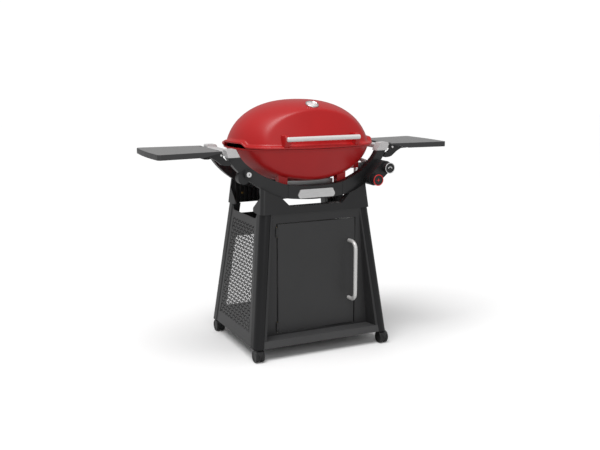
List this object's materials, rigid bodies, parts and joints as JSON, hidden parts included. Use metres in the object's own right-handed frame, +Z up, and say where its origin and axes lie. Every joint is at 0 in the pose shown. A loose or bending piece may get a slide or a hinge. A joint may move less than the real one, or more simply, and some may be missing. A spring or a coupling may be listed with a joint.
{
  "type": "gas barbecue grill",
  "caption": "Gas barbecue grill with a domed hinged lid, oval cookbox in a curved cradle, folding side tables, gas knobs and a splayed cabinet cart with door and casters.",
  "frame": {"origin": "on the floor under the middle of the grill", "axes": "+X to the cook's right, -Y towards the cook at the front, +Z up"},
  "size_m": [1.336, 0.6081, 1.0456],
  "materials": {
    "red_enamel": "satin",
    "charcoal_powder_coat": "satin",
    "black_resin": "satin",
    "grey_table_resin": "matte",
    "silver_casting": "satin",
    "bare_aluminium": "satin",
    "satin_steel": "satin",
    "chrome_trim": "gloss",
    "badge_metal": "satin",
    "red_trim": "gloss",
    "cast_iron": "matte",
    "brass_hardware": "satin",
    "black_tyre": "satin"
  },
  "bodies": {
    "grill_frame": {"badge_plate": "badge_metal", "base_shelf": "charcoal_powder_coat", "burner_inner": "satin_steel", "burner_outer": "satin_steel", "control_pod": "black_resin", "cookbox": "red_enamel", "cradle_front": "black_resin", "cradle_rear": "black_resin", "door_hinge_pins": "brass_hardware", "end_rail_left": "silver_casting", "end_rail_right": "silver_casting", "fascia_bolts": "brass_hardware", "front_bottom_rail": "charcoal_powder_coat", "front_fascia": "black_resin", "front_frame": "charcoal_powder_coat", "gas_manifold": "satin_steel", "gas_regulator": "black_resin", "grate_left": "cast_iron", "grate_right": "cast_iron", "igniter_electrode": "satin_steel", "igniter_housing": "black_resin", "leg_front_left": "charcoal_powder_coat", "leg_front_right": "charcoal_powder_coat", "leg_rear_left": "charcoal_powder_coat", "leg_rear_right": "charcoal_powder_coat", "lid_hinge_pins": "satin_steel", "manifold_bracket": "bare_aluminium", "rear_bottom_rail": "charcoal_powder_coat", "rear_fascia": "black_resin", "rear_top_panel": "charcoal_powder_coat", "side_panel_left": "charcoal_powder_coat", "side_panel_right": "charcoal_powder_coat", "table_pin_left": "satin_steel", "table_pin_right": "satin_steel", "tray_rails": "bare_aluminium"},
    "door": {"door_panel": "charcoal_powder_coat", "door_handle": "satin_steel"},
    "lid": {"lid": "red_enamel", "lid_handle": "satin_steel", "thermometer": "chrome_trim"},
    "table_left": {"side_table_left": "grey_table_resin", "table_brackets_left": "black_resin"},
    "table_right": {"side_table_right": "grey_table_resin", "table_brackets_right": "black_resin"},
    "knob_main": {"knob_main": "black_resin", "knob_ring_main": "red_trim"},
    "knob_small": {"knob_small": "black_resin", "knob_ring_small": "chrome_trim"},
    "igniter_button": {"igniter_button": "chrome_trim"},
    "drip_tray": {"drip_tray": "bare_aluminium"},
    "caster_front_left": {"caster_hood_front_left": "black_resin"},
    "wheels_front_left": {"caster_wheels_front_left": "black_tyre"},
    "caster_front_right": {"caster_hood_front_right": "black_resin"},
    "wheels_front_right": {"caster_wheels_front_right": "black_tyre"},
    "caster_rear_left": {"caster_hood_rear_left": "black_resin"},
    "wheels_rear_left": {"caster_wheels_rear_left": "black_tyre"},
    "caster_rear_right": {"caster_hood_rear_right": "black_resin"},
    "wheels_rear_right": {"caster_wheels_rear_right": "black_tyre"}
  },
  "joints": [
    {"name": "lid_hinge", "type": "hinge", "parent": "grill_frame", "child": "lid", "pos_m": [0, 0.29375, 0.852], "axis": [-1, 0, 0], "range_deg": [0, 92]},
    {"name": "side_table_left_fold", "type": "hinge", "parent": "grill_frame", "child": "table_left", "pos_m": [-0.3955, -0.03425, 0.838], "axis": [0, 1, 0], "range_deg": [0, 90]},
    {"name": "side_table_right_fold", "type": "hinge", "parent": "grill_frame", "child": "table_right", "pos_m": [0.3955, -0.03425, 0.838], "axis": [0, -1, 0], "range_deg": [0, 90]},
    {"name": "door_hinge", "type": "hinge", "parent": "grill_frame", "child": "door", "pos_m": [-0.1835, -0.22675, 0.3], "axis": [0, 0, -1], "range_deg": [0, 110]},
    {"name": "main_knob_turn", "type": "hinge", "parent": "grill_frame", "child": "knob_main", "pos_m": [0.265, -0.25425, 0.713], "axis": [0, -1, 0], "range_deg": [0, 210]},
    {"name": "small_knob_turn", "type": "hinge", "parent": "grill_frame", "child": "knob_small", "pos_m": [0.321, -0.25425, 0.761], "axis": [0, -1, 0], "range_deg": [0, 210]},
    {"name": "igniter_press", "type": "slide", "parent": "grill_frame", "child": "igniter_button", "axis": [0, 1, 0], "range_m": [0, 0.004], "stiffness_N_per_m": 600},
    {"name": "drip_tray_slide", "type": "slide", "parent": "grill_frame", "child": "drip_tray", "axis": [-1, 0, 0], "range_m": [0, 0.22]},
    {"name": "caster_front_left_swivel", "type": "hinge", "parent": "grill_frame", "child": "caster_front_left", "pos_m": [-0.291, -0.26425, 0.06], "axis": [0, 0, 1], "continuous": true},
    {"name": "wheels_front_left_roll", "type": "hinge", "parent": "caster_front_left", "child": "wheels_front_left", "pos_m": [-0.291, -0.27825, 0.0255], "axis": [1, 0, 0], "continuous": true},
    {"name": "caster_front_right_swivel", "type": "hinge", "parent": "grill_frame", "child": "caster_front_right", "pos_m": [0.291, -0.26425, 0.06], "axis": [0, 0, 1], "continuous": true},
    {"name": "wheels_front_right_roll", "type": "hinge", "parent": "caster_front_right", "child": "wheels_front_right", "pos_m": [0.291, -0.27825, 0.0255], "axis": [1, 0, 0], "continuous": true},
    {"name": "caster_rear_left_swivel", "type": "hinge", "parent": "grill_frame", "child": "caster_rear_left", "pos_m": [-0.291, 0.19575, 0.06], "axis": [0, 0, 1], "continuous": true},
    {"name": "wheels_rear_left_roll", "type": "hinge", "parent": "caster_rear_left", "child": "wheels_rear_left", "pos_m": [-0.291, 0.18175, 0.0255], "axis": [1, 0, 0], "continuous": true},
    {"name": "caster_rear_right_swivel", "type": "hinge", "parent": "grill_frame", "child": "caster_rear_right", "pos_m": [0.291, 0.19575, 0.06], "axis": [0, 0, 1], "continuous": true},
    {"name": "wheels_rear_right_roll", "type": "hinge", "parent": "caster_rear_right", "child": "wheels_rear_right", "pos_m": [0.291, 0.18175, 0.0255], "axis": [1, 0, 0], "continuous": true}
  ]
}
